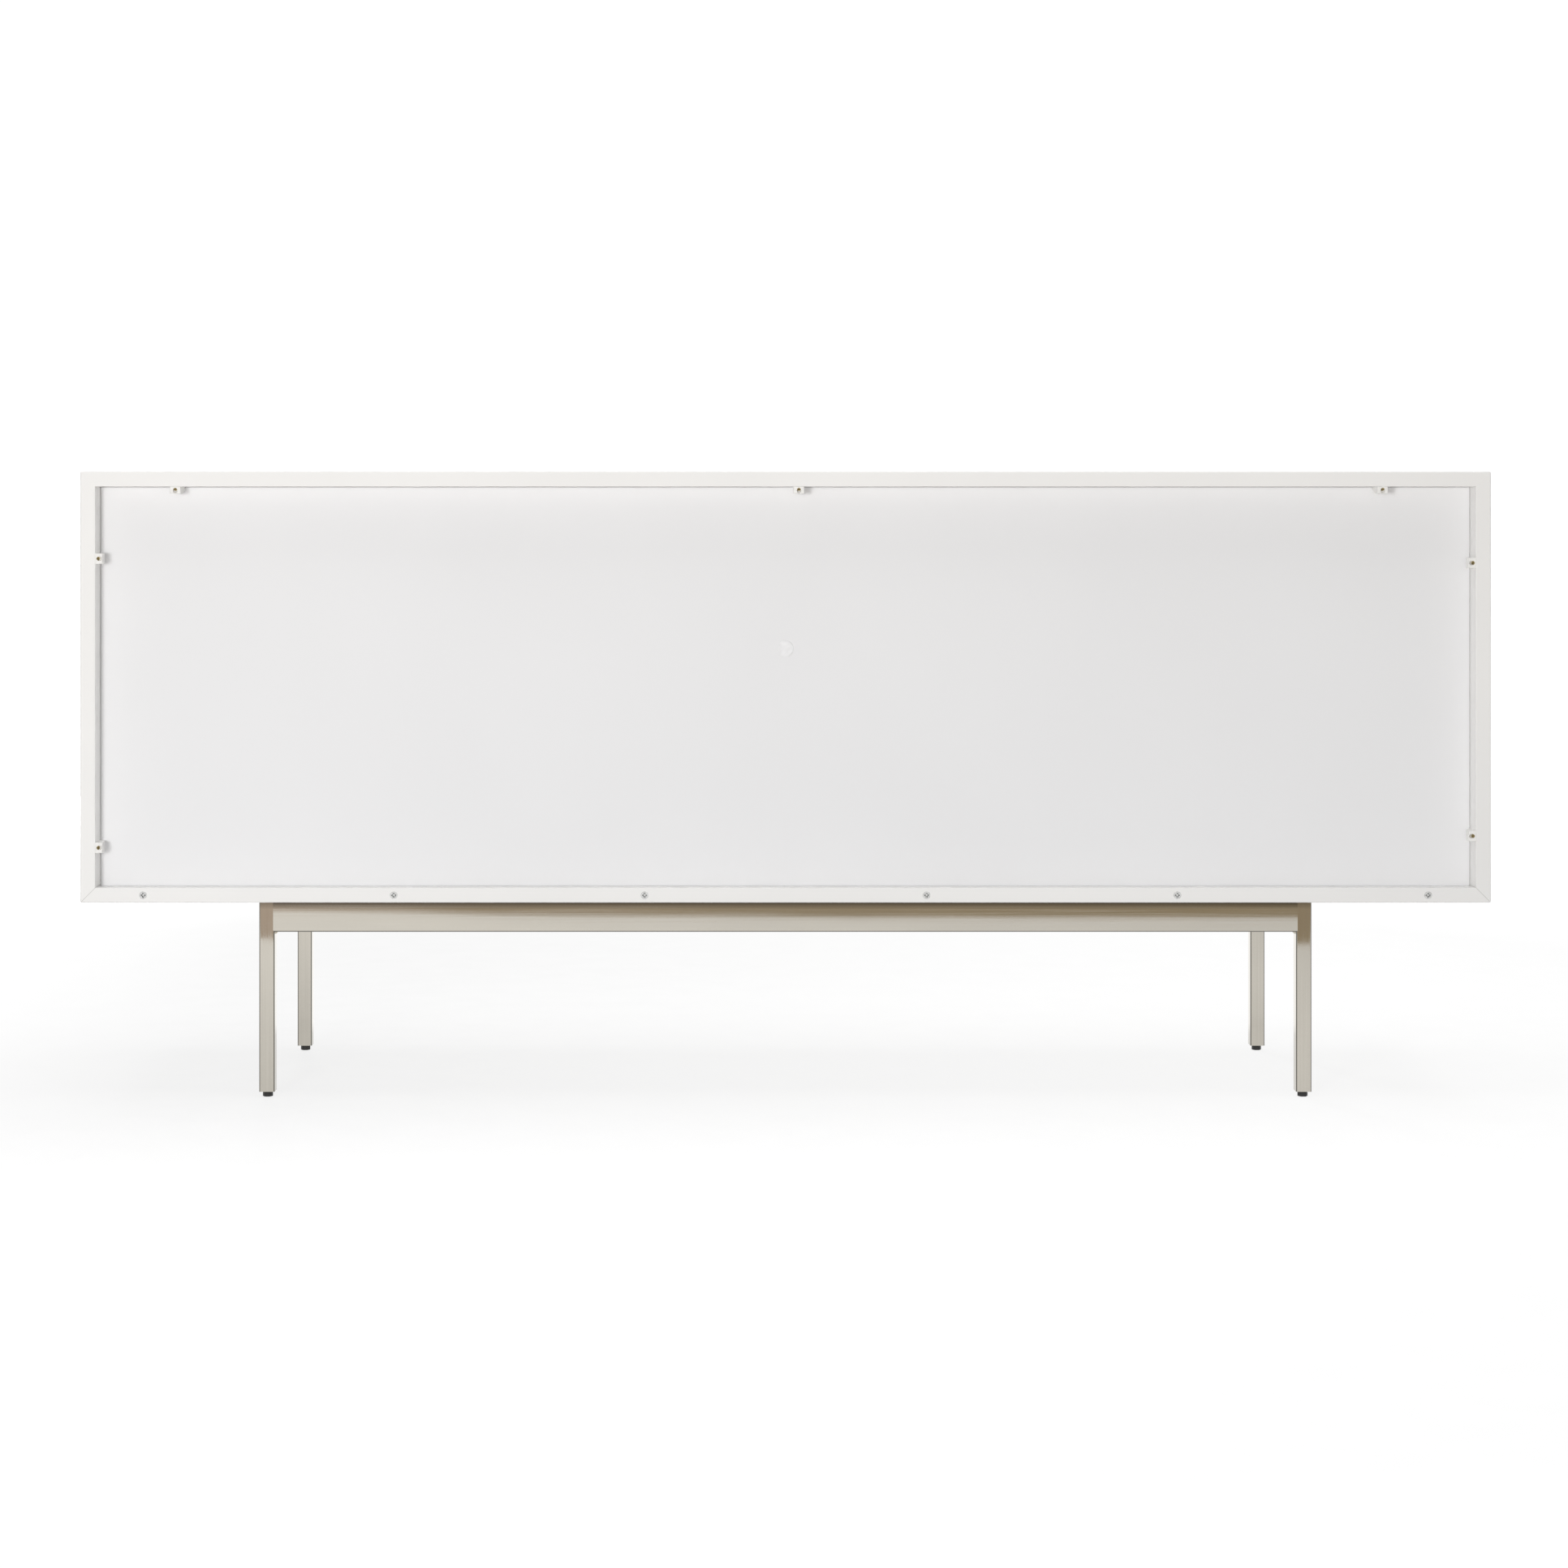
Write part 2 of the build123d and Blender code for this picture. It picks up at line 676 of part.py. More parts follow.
os.makedirs("parts", exist_ok=True)
make_case()
make_shelves()
make_back_panel()
make_clips()
for door_name, (hinge_edge, direction) in doors.items():
    make_door(door_name, hinge_edge, direction)
make_pivots()
make_latches()
make_frame()
make_frame_fixings()
make_feet()
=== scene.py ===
"""A low white media cabinet with four doors, on a polished steel frame with levelling feet.

Lengths are metres unless a name or comment says millimetres. +X runs along the cabinet, its doors
face -Y, its back faces +Y, and +Z is up.
"""

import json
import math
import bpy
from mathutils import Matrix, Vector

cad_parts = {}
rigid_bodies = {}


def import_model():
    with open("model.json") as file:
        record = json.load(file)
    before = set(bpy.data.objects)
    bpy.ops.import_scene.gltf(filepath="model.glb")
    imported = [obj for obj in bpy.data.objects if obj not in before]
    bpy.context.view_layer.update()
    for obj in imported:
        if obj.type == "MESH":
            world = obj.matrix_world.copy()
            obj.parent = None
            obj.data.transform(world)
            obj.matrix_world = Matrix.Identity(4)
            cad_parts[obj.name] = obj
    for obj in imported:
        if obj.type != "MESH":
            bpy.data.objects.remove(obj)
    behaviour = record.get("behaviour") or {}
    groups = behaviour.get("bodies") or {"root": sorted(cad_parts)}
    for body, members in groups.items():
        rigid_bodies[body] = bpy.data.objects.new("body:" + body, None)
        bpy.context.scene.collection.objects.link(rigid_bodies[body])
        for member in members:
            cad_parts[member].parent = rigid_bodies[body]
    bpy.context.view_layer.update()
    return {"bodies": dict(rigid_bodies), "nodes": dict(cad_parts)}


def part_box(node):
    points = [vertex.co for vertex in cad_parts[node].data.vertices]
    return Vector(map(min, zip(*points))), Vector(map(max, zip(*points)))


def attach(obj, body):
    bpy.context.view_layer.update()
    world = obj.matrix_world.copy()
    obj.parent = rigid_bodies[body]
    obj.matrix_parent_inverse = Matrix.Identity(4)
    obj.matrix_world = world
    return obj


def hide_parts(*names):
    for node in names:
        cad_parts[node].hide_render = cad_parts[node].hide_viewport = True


bl_info = {
    "name": "White Media Cabinet",
    "version": (1, 0, 0),
    "blender": (4, 5, 0),
    "location": "3D View > Sidebar > Cabinet",
    "description": "Finishes and fine fittings for a white lacquered media cabinet on a steel frame",
    "category": "Object",
}

import bmesh
import bpy
import numpy as np
from mathutils import Vector

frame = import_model()

MM = 0.001


# ---- Colours and nodes ------------------------------------------------------------------------


def linear(colour):
    """The linear red, green, blue and alpha of an sRGB hex colour."""
    shades = np.array([int(colour[i:i + 2], 16) for i in (1, 3, 5)]) / 255
    curved = np.where(shades <= 0.04045, shades / 12.92, ((shades + 0.055) / 1.055) ** 2.4)
    return (*curved.tolist(), 1.0)


def per_metre(millimetres):
    """How many times a pattern of this size repeats in a metre."""
    return 1 / (millimetres * MM)


def add(tree, kind, inputs=None, **settings):
    """Adds one node with its settings. Each input is a number, a colour or another node's output."""
    made = tree.nodes.new(kind)
    for name, value in settings.items():
        setattr(made, name, value)
    for key, value in (inputs or {}).items():
        if isinstance(value, bpy.types.NodeSocket):
            tree.links.new(value, made.inputs[key])
        else:
            made.inputs[key].default_value = value
    return made


def start_material(name, roughness, metallic=0.0, ior=None):
    """A new material with its shader: returns it, its tree, its shader and its Object coordinates."""
    material = bpy.data.materials.new(name)
    material.use_nodes = True
    tree = material.node_tree
    shader = tree.nodes["Principled BSDF"]
    shader.inputs["Roughness"].default_value = roughness
    shader.inputs["Metallic"].default_value = metallic
    if ior:
        shader.inputs["IOR"].default_value = ior
    return material, tree, shader, add(tree, "ShaderNodeTexCoord").outputs["Object"]


def noise(tree, place, sizes, detail=3.0):
    """Noise whose grains have these sizes in millimetres along X, Y and Z."""
    scale = [per_metre(size) for size in sizes]
    stretched = add(tree, "ShaderNodeMapping", {"Vector": place, "Scale": scale})
    made = add(tree, "ShaderNodeTexNoise", {
        "Vector": stretched.outputs["Vector"], "Scale": 1.0, "Detail": detail})
    return made.outputs["Fac"]


def spread(tree, value, low, high, start=0.3, end=0.7, curve="LINEAR"):
    """Maps a pattern's values from start..end to low..high."""
    made = add(tree, "ShaderNodeMapRange", {
        "Value": value, "From Min": start, "From Max": end, "To Min": low, "To Max": high,
    }, interpolation_type=curve)
    return made.outputs["Result"]


def blend_colours(tree, factor, first, second):
    """A colour between two, by a factor."""
    made = add(tree, "ShaderNodeMix", {"Factor": factor, "A": first, "B": second}, data_type="RGBA")
    return made.outputs["Result"]


def tinted(colour, factor):
    """The same colour made lighter or darker."""
    return (*[min(1.0, shade * factor) for shade in colour[:3]], 1.0)


def relief(tree, shader, height, depth):
    """Gives a surface a fine relief of this depth in metres."""
    bump = add(tree, "ShaderNodeBump", {"Height": height, "Distance": depth, "Strength": 1.0})
    tree.links.new(bump.outputs["Normal"], shader.inputs["Normal"])


# ---- Finishes ------------------------------------------------------------------------------------


def sprayed_lacquer(name, colour, mitred):
    """Polyurethane lacquer sprayed on MDF and left satin.

    It gives an even warm white with the faint orange peel of a spray gun, about 3 mm across. Mitred
    boards also show a hairline where they meet at the foot of the case. The real line is 0.2 mm wide and
    is drawn 0.7 mm wide, because a finer one doesn't show.
    """
    material, tree, shader, place = start_material(name, 0.36, ior=1.5)
    clouds = noise(tree, place, (220, 220, 220), 2.0)
    shade = blend_colours(tree, spread(tree, clouds, 0.0, 1.0), tinted(colour, 0.985), tinted(colour, 1.015))
    if mitred:
        half_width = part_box("right_side_panel")[1].x
        case_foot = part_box("bottom_panel")[0].z
        axes = add(tree, "ShaderNodeSeparateXYZ", {"Vector": place})
        side = add(tree, "ShaderNodeMath", {0: axes.outputs["X"]}, operation="ABSOLUTE")
        reach = add(tree, "ShaderNodeMath", {0: half_width, 1: side.outputs[0]}, operation="SUBTRACT")
        up = add(tree, "ShaderNodeMath", {0: axes.outputs["Z"], 1: case_foot}, operation="SUBTRACT")
        apart = add(tree, "ShaderNodeMath", {0: reach.outputs[0], 1: up.outputs[0]}, operation="SUBTRACT")
        apart = add(tree, "ShaderNodeMath", {0: apart.outputs[0]}, operation="ABSOLUTE")
        line = spread(tree, apart.outputs[0], 0.5, 0.0, 0.25 * MM, 0.8 * MM)
        corner = spread(tree, reach.outputs[0], 1.0, 0.0, 22.0 * MM, 22.4 * MM)
        edge = spread(tree, reach.outputs[0], 0.0, 1.0, 0.3 * MM, 2.0 * MM)
        within = add(tree, "ShaderNodeMath", {0: corner, 1: edge}, operation="MULTIPLY")
        line = add(tree, "ShaderNodeMath", {0: line, 1: within.outputs[0]}, operation="MULTIPLY")
        shade = blend_colours(tree, line.outputs[0], shade, linear("#A9A7A1"))
    tree.links.new(shade, shader.inputs["Base Color"])
    peel = noise(tree, place, (3, 3, 3), 2.0)
    tree.links.new(spread(tree, peel, 0.32, 0.40), shader.inputs["Roughness"])
    relief(tree, shader, peel, 0.02 * MM)
    return material


def faced_board(name, colour):
    """Melamine paper pressed on chipboard with a pearl plate.

    It gives a plain matt white with a soft pebbled relief, really 0.6 mm across and drawn at 2 mm.
    """
    material, tree, shader, place = start_material(name, 0.5, ior=1.53)
    clouds = noise(tree, place, (300, 300, 300), 2.0)
    shade = blend_colours(tree, spread(tree, clouds, 0.0, 1.0), tinted(colour, 0.99), tinted(colour, 1.01))
    tree.links.new(shade, shader.inputs["Base Color"])
    pearls = noise(tree, place, (2, 2, 2), 1.0)
    tree.links.new(spread(tree, pearls, 0.46, 0.56), shader.inputs["Roughness"])
    relief(tree, shader, pearls, 0.03 * MM)
    return material


def moulded_plastic(name, colour, roughness, grain, ior):
    """Plastic moulded in a spark-eroded tool: an even colour with faint flow clouds and a fine grain."""
    material, tree, shader, place = start_material(name, roughness, ior=ior)
    flow = noise(tree, place, (9, 9, 9), 2.0)
    shade = blend_colours(tree, spread(tree, flow, 0.0, 1.0), tinted(colour, 0.95), tinted(colour, 1.05))
    tree.links.new(shade, shader.inputs["Base Color"])
    texture = noise(tree, place, (grain, grain, grain), 2.0)
    tree.links.new(spread(tree, texture, roughness - 0.06, roughness + 0.06), shader.inputs["Roughness"])
    relief(tree, shader, texture, 0.03 * MM)
    return material


def belt_polished_stainless(name, colour, along, slope=0.0, top_shade_share=0.12):
    """Stainless steel tube brushed fine and then belt-polished along its length.

    It gives a warm grey that mirrors the floor almost sharply, with faint long streaks. They are really
    0.1 mm wide and are drawn 1.4 mm wide. Slow clouds along the tube are where the belt pressed harder.
    The top 11 mm, close under the case, is painted darker as shade under the case, and the rounded corners
    are painted darker as shade. The last argument is how bright the painted shade at the top is beside the
    polished steel. The slope, in metres per metre, leans each face's reflection from the tube's length, as a
    face ground a little off true would. Both are chosen for their looks.
    """
    material, tree, shader, place = start_material(name, 0.04, metallic=1.0)
    streak_sizes = [1.4, 1.4, 1.4]
    streak_sizes[along] = 220.0
    cloud_sizes = [30.0, 30.0, 30.0]
    cloud_sizes[along] = 120.0
    streaks = noise(tree, place, streak_sizes, 3.0)
    clouds = noise(tree, place, cloud_sizes, 2.0)
    shade = blend_colours(tree, spread(tree, streaks, 0.0, 1.0), tinted(colour, 0.965), tinted(colour, 1.035))
    shade = blend_colours(tree, spread(tree, clouds, 0.0, 0.5), shade, tinted(colour, 0.92))
    axes = add(tree, "ShaderNodeSeparateXYZ", {"Vector": place})
    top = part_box("frame_rear_rail")[1].z
    # Painted shade: the top 11 mm of the tube, close under the case, is drawn darker.
    painted_top_shade = spread(tree, axes.outputs["Z"], 1.0, 0.0, top - 11 * MM, top - MM)
    shade = blend_colours(tree, painted_top_shade, tinted(colour, top_shade_share), shade)
    # Painted shade: the rounded corners, where the normal leans away from the flats, are drawn darker.
    facing = add(tree, "ShaderNodeNewGeometry").outputs["Normal"]
    facing = add(tree, "ShaderNodeVectorMath", {0: facing}, operation="ABSOLUTE").outputs[0]
    facing = add(tree, "ShaderNodeSeparateXYZ", {"Vector": facing})
    flat = facing.outputs["X"]
    for other in "YZ":
        greater = add(tree, "ShaderNodeMath", {0: flat, 1: facing.outputs[other]}, operation="MAXIMUM")
        flat = greater.outputs[0]
    corner_shade_share = 0.3
    shade = blend_colours(tree, spread(tree, flat, 0.0, 1.0, 0.9, 0.995), tinted(colour, corner_shade_share), shade)
    tree.links.new(shade, shader.inputs["Base Color"])
    tree.links.new(spread(tree, streaks, 0.02, 0.06), shader.inputs["Roughness"])
    fine = add(tree, "ShaderNodeMath", {0: streaks, 1: 0.0001 * MM}, operation="MULTIPLY")
    height = add(tree, "ShaderNodeMath", {0: axes.outputs[along], 1: -slope, 2: fine.outputs[0]},
                 operation="MULTIPLY_ADD")
    relief(tree, shader, height.outputs[0], 1.0)
    return material


def welded_stainless(name, colour):
    """A bare stainless weld bead: rippled, a little rougher than the tube, with straw heat tint."""
    material, tree, shader, place = start_material(name, 0.34, metallic=1.0)
    heat = noise(tree, place, (2.5, 2.5, 2.5), 2.0)
    shade = blend_colours(tree, spread(tree, heat, 0.0, 1.0), linear("#B4AB98"), colour)
    tree.links.new(shade, shader.inputs["Base Color"])
    tree.links.new(spread(tree, heat, 0.25, 0.42), shader.inputs["Roughness"])
    relief(tree, shader, heat, 0.05 * MM)
    return material


def bright_steel(name, colour):
    """Cold-rolled or drawn steel, nickel plated: smooth and bright with faint drawing lines."""
    material, tree, shader, place = start_material(name, 0.2, metallic=1.0)
    lines = noise(tree, place, (30, 0.8, 0.8), 3.0)
    shade = blend_colours(tree, spread(tree, lines, 0.0, 1.0), tinted(colour, 0.9), tinted(colour, 1.05))
    tree.links.new(shade, shader.inputs["Base Color"])
    tree.links.new(spread(tree, lines, 0.14, 0.26), shader.inputs["Roughness"])
    relief(tree, shader, lines, 0.01 * MM)
    return material


def zinc_plate(name, light, dark, roughness):
    """Electroplated zinc with a chromate film: fine mottling about 3 mm across, as crystals catch light."""
    material, tree, shader, place = start_material(name, roughness, metallic=1.0)
    mottle = noise(tree, place, (3, 3, 3), 3.0)
    shade = blend_colours(tree, spread(tree, mottle, 0.0, 1.0), dark, light)
    tree.links.new(shade, shader.inputs["Base Color"])
    tree.links.new(spread(tree, mottle, roughness - 0.07, roughness + 0.07), shader.inputs["Roughness"])
    relief(tree, shader, mottle, 0.02 * MM)
    return material


def turned_brass(name, colour):
    """Brass cut on a lathe: yellow, fairly bright, with the fine lines of the tool."""
    material, tree, shader, place = start_material(name, 0.24, metallic=1.0)
    lines = noise(tree, place, (4, 4, 0.4), 3.0)
    shade = blend_colours(tree, spread(tree, lines, 0.0, 1.0), tinted(colour, 0.88), tinted(colour, 1.06))
    tree.links.new(shade, shader.inputs["Base Color"])
    tree.links.new(spread(tree, lines, 0.18, 0.3), shader.inputs["Roughness"])
    relief(tree, shader, lines, 0.01 * MM)
    return material


def raw_beech(name, colour):
    """Raw beech dowel: pale pinkish brown, with short darker flecks along the grain."""
    material, tree, shader, place = start_material(name, 0.62, ior=1.5)
    grain = noise(tree, place, (1.2, 1.2, 14), 4.0)
    shade = blend_colours(tree, spread(tree, grain, 0.0, 1.0), tinted(colour, 0.72), tinted(colour, 1.08))
    tree.links.new(shade, shader.inputs["Base Color"])
    tree.links.new(spread(tree, grain, 0.55, 0.7), shader.inputs["Roughness"])
    relief(tree, shader, grain, 0.05 * MM)
    return material


def finish_nodes(material, *names):
    """Gives the objects of CAD nodes their material."""
    for name in names:
        for slot in frame["nodes"][name].material_slots:
            slot.material = material


# ---- Surfaces ------------------------------------------------------------------------------------


def ring_faces(rows, columns):
    """Faces of a grid that closes around its columns.

    A vertex's number is its row times columns plus its column.
    """
    row, column = np.mgrid[0:rows - 1, 0:columns]
    beside = (column + 1) % columns
    corners = [row * columns + column, row * columns + beside,
               (row + 1) * columns + beside, (row + 1) * columns + column]
    return np.stack(corners, axis=-1).reshape(-1, 4)


def make_piece(name, surfaces, material, body, replaced, sharp=32.0):
    """One object from closed surfaces, each an array of rows by columns by 3 whose end rows are points.

    It sits at the origin, rides on a CAD body, takes its finish from a slot and replaces a CAD node.
    """
    points, faces, start = [], [], 0
    for surface in surfaces:
        rows, columns = surface.shape[:2]
        points.append(surface.reshape(-1, 3))
        faces.append(ring_faces(rows, columns) + start)
        start += rows * columns
    mesh = bpy.data.meshes.new(name)
    mesh.from_pydata(np.concatenate(points).tolist(), [], np.concatenate(faces).tolist())
    merged = bmesh.new()
    merged.from_mesh(mesh)
    bmesh.ops.remove_doubles(merged, verts=merged.verts, dist=0.0001 * MM)
    bmesh.ops.recalc_face_normals(merged, faces=merged.faces)
    merged.to_mesh(mesh)
    merged.free()
    mesh.shade_smooth()
    mesh.set_sharp_from_angle(angle=math.radians(sharp))
    mesh.materials.append(material)
    piece = bpy.data.objects.new(name, mesh)
    bpy.context.scene.collection.objects.link(piece)
    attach(piece, body)
    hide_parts(replaced)
    return piece


def across_axis(axis):
    """Two unit directions square to an axis and to each other."""
    helper = np.array([1.0, 0.0, 0.0]) if abs(axis[0]) < 0.7 else np.array([0.0, 1.0, 0.0])
    first = np.cross(axis, helper)
    first /= np.linalg.norm(first)
    return first, np.cross(axis, first)


def around(origin, axis, radius, height, angle):
    """Points at a radius and an angle about an axis, and at a height along it."""
    first, second = across_axis(axis)
    aside = np.cos(angle)[..., None] * first + np.sin(angle)[..., None] * second
    return origin + height[..., None] * axis + radius[..., None] * aside


def thread(angle, depth, crest, root, pitch):
    """Radius of a thread: from root to crest and back once in each pitch, one pitch per turn."""
    phase = (depth / pitch - angle / (2 * math.pi)) % 1.0
    return root + (crest - root) * np.clip(1.35 - np.abs(4 * phase - 2), 0, 1)


def solids_of(name):
    """The corner points of each separate solid in a CAD node.

    Points that faces join get one label: each face passes its lowest label to its corners until none changes.
    """
    mesh = frame["nodes"][name].data
    mesh.calc_loop_triangles()
    points = np.empty(len(mesh.vertices) * 3)
    mesh.vertices.foreach_get("co", points)
    corners = np.empty(len(mesh.loop_triangles) * 3, np.int32)
    mesh.loop_triangles.foreach_get("vertices", corners)
    places, same = np.unique(np.round(points.reshape(-1, 3), 6), axis=0, return_inverse=True)
    triangles = same.ravel()[corners].reshape(-1, 3)
    label = np.arange(len(places))
    while True:
        lower = label.copy()
        np.minimum.at(lower, triangles.ravel(), np.repeat(label[triangles].min(axis=1), 3))
        lower = lower[lower]
        if np.array_equal(lower, label):
            return [places[label == value] for value in np.unique(label)]
        label = lower


def screw_places(name):
    """For each screw of a CAD node: its head's middle, its direction, and head, shank and length.

    The direction is the long axis of the solid's points, and the head is at the wider end.
    """
    found = []
    for points in solids_of(name):
        middle = points.mean(axis=0)
        axis = np.linalg.svd(points - middle, full_matrices=False)[2][0]
        if np.abs(axis).max() > 0.97:
            axis = np.round(axis)
        along = (points - middle) @ axis
        aside = np.linalg.norm(points - middle - along[:, None] * axis, axis=1)
        half_way = (along.min() + along.max()) / 2
        if aside[along > half_way].max() > aside[along <= half_way].max():
            axis, along, half_way = -axis, -along, -half_way
        start = middle + along.min() * axis
        found.append((start, axis, 2 * aside.max(), 2 * aside[along > half_way].max(), np.ptp(along)))
    return found


def screw_surface(start, axis, head, shank, length, fittings):
    """A countersunk wood screw as one surface around its axis.

    From the middle of the head outwards, the face sinks by a cross recess: full depth near the middle,
    rising in a straight ramp to its reach, and only within half a slot's width of either arm. Then come a
    narrow rim, the cone, the thread, and a point where the thread's radius fades to nothing.
    """
    angle = np.linspace(0, 2 * math.pi, 48, endpoint=False)[None, :]
    radius = np.linspace(0, 0.455 * head, 22)[:, None] + 0 * angle
    over, up = np.abs(radius * np.cos(angle)), np.abs(radius * np.sin(angle))
    arm, width = np.maximum(over, up), np.minimum(over, up)
    reach, slot = fittings.recess_reach * head / 2, fittings.recess_slot * head / 2
    ramp = np.clip((reach - arm) / (0.55 * reach), 0, 1)
    wall = np.clip((slot * 1.25 - width) / (slot * 0.35), 0, 1)
    dome = 0.012 * head * np.cos(math.pi * radius / head)
    face_height = -0.22 * head * ramp * wall + dome

    cone_depth = (head - shank) / 2
    rim_radius = np.array([0.485, 0.5])[:, None] * head + 0 * angle
    rim_height = -np.array([0.03, 0.06])[:, None] * head + 0 * angle
    steps = max(12, int((length - cone_depth) / fittings.screw_pitch(shank) * 5))
    depth = np.linspace(cone_depth, length, steps)[:, None] + 0 * angle
    fade = np.clip((length - depth) / (1.6 * shank), 0, 1)
    body = thread(angle, depth, shank / 2, 0.36 * shank, fittings.screw_pitch(shank)) * fade

    radius = np.concatenate([radius, rim_radius, body])
    height = np.concatenate([face_height, rim_height, -depth])
    return around(start, -axis, radius, height, np.broadcast_to(angle, radius.shape))


# ---- Settings ------------------------------------------------------------------------------------


def colour_setting(name, description, colour):
    """A colour that a user would change, from an sRGB hex value."""
    return bpy.props.FloatVectorProperty(
        name=name, description=description, subtype="COLOR", size=4, min=0.0, max=1.0, default=linear(colour))


def length_setting(name, description, metres):
    """A length that a user would change."""
    return bpy.props.FloatProperty(
        name=name, description=description, default=metres, min=0.0, unit="LENGTH", precision=5)


class CabinetFinishes(bpy.types.PropertyGroup):
    lacquer: colour_setting("Lacquer", "Case and doors", "#F2F1EF")
    board: colour_setting("Board", "Back panel, shelves and divider", "#EFEFF0")
    white_plastic: colour_setting("White plastic", "Clips and cover cap", "#F1F0ED")
    grey_plastic: colour_setting("Grey plastic", "Latches", "#C4C6C6")
    black_plastic: colour_setting("Black plastic", "Glides of the feet", "#1D1C1B")
    steel: colour_setting("Polished steel", "Legs and rails", "#C2BDB3")
    nickel: colour_setting("Bright steel", "Pivot plates, pins and strikes", "#CFCFCC")
    zinc: colour_setting("Zinc", "Plain zinc screws", "#DFE0DF")
    yellow_zinc: colour_setting("Yellow zinc", "Screws of the clips", "#D2C296")
    brass: colour_setting("Brass", "Washers of the pivots", "#D6B36A")
    beech: colour_setting("Beech", "Dowels", "#D4B48C")


class CabinetFittings(bpy.types.PropertyGroup):
    stud_pitch: length_setting("Stud pitch", "Pitch of the M8 studs", 1.25 * MM)
    stud_root: length_setting("Stud root", "Root diameter of the M8 studs", 6.6 * MM)
    cap_rim: length_setting("Cap rim", "Width of the cover cap's rounded rim", 1.6 * MM)
    weld_ripple: length_setting("Weld ripple", "Distance between ripples on a weld bead", 1.7 * MM)
    recess_reach: bpy.props.FloatProperty(
        name="Recess reach", description="Cross recess across a screw's head", default=0.66, min=0.2, max=0.9,
        subtype="FACTOR")
    recess_slot: bpy.props.FloatProperty(
        name="Recess slot", description="Width of the cross recess's arms", default=0.18, min=0.05, max=0.3,
        subtype="FACTOR")

    def screw_pitch(self, shank):
        """Wood screws have a pitch near half their diameter."""
        return 0.48 * shank


class CabinetStage(bpy.types.PropertyGroup):
    camera_place: bpy.props.FloatVectorProperty(
        name="Camera", description="Where the camera stands", subtype="TRANSLATION", unit="LENGTH",
        default=(0.0673, 4.1536, 0.7354))
    lens: bpy.props.FloatProperty(name="Lens", description="Focal length", default=70.87, unit="CAMERA")
    shift_x: bpy.props.FloatProperty(name="Shift X", description="Sideways shift of the lens", default=0.0326)
    shift_y: bpy.props.FloatProperty(name="Shift Y", description="Upward shift of the lens", default=-0.1659)
    air: bpy.props.FloatProperty(
        name="Air", description="Strength of the light from all round", default=0.31, min=0.0)
    key_power: bpy.props.FloatProperty(
        name="Key light", description="Power of each of the two small low lights, front and back",
        default=73.0, min=0.0, unit="POWER")
    floor_glow: bpy.props.FloatProperty(
        name="Floor glow", description="Light that the white floor sends to the camera by itself",
        default=0.845, min=0.0)
    floor_lift: bpy.props.FloatProperty(
        name="Floor lift", description="Light that the white floor sends to matt surfaces by itself",
        default=0.33, min=0.0)
    front_power: bpy.props.FloatProperty(
        name="Broad light", description="Power of each of the two broad low lights, front and back",
        default=58.0, min=0.0, unit="POWER")
    top_power: bpy.props.FloatProperty(
        name="Overhead light", description="Power of the broad light overhead",
        default=76.0, min=0.0, unit="POWER")
    sweep_end: length_setting("Sweep end", "From the middle to where the white floor ends", 2.015)


# ---- Operators ------------------------------------------------------------------------------------


class CABINET_OT_boards(bpy.types.Operator):
    """Lacquer the case, the doors and the strip, and face the inside boards"""

    bl_idname = "cabinet.boards"
    bl_label = "Boards and Doors"

    def execute(self, context):
        colours = context.scene.cabinet_finishes
        case = sprayed_lacquer("sprayed_lacquer_case", colours.lacquer, mitred=True)
        doors = sprayed_lacquer("sprayed_lacquer_doors", colours.lacquer, mitred=False)
        finish_nodes(case, "top_panel", "bottom_panel", "left_side_panel", "right_side_panel",
                     "bottom_rear_rail")
        finish_nodes(doors, *[name for name in frame["bodies"] if name.endswith("_door")])
        finish_nodes(faced_board("melamine_faced_board", colours.board),
                     "back_panel", "centre_divider", "left_shelf", "right_shelf")
        finish_nodes(raw_beech("raw_beech", colours.beech), "mitre_dowels", "divider_dowels")
        return {"FINISHED"}


class CABINET_OT_steel_frame(bpy.types.Operator):
    """Polish each tube of the frame along its own length"""

    bl_idname = "cabinet.steel_frame"
    bl_label = "Steel Frame"

    def execute(self, context):
        steel = context.scene.cabinet_finishes.steel
        runs_x = belt_polished_stainless("polished_stainless_long", steel, 0)
        runs_y = belt_polished_stainless("polished_stainless_deep", steel, 1)
        # The legs' painted shade at the top is half as bright as their steel, lighter than the rails'.
        leg_slope, leg_top_shade_share = 0.0135, 0.5
        runs_z = belt_polished_stainless("polished_stainless_upright", steel, 2, leg_slope, leg_top_shade_share)
        finish_nodes(runs_x, "frame_rear_rail", "frame_front_rail", "frame_tabs")
        finish_nodes(runs_y, "frame_left_rail", "frame_right_rail")
        finish_nodes(runs_z, "front_left_leg", "front_right_leg", "rear_left_leg", "rear_right_leg")
        return {"FINISHED"}


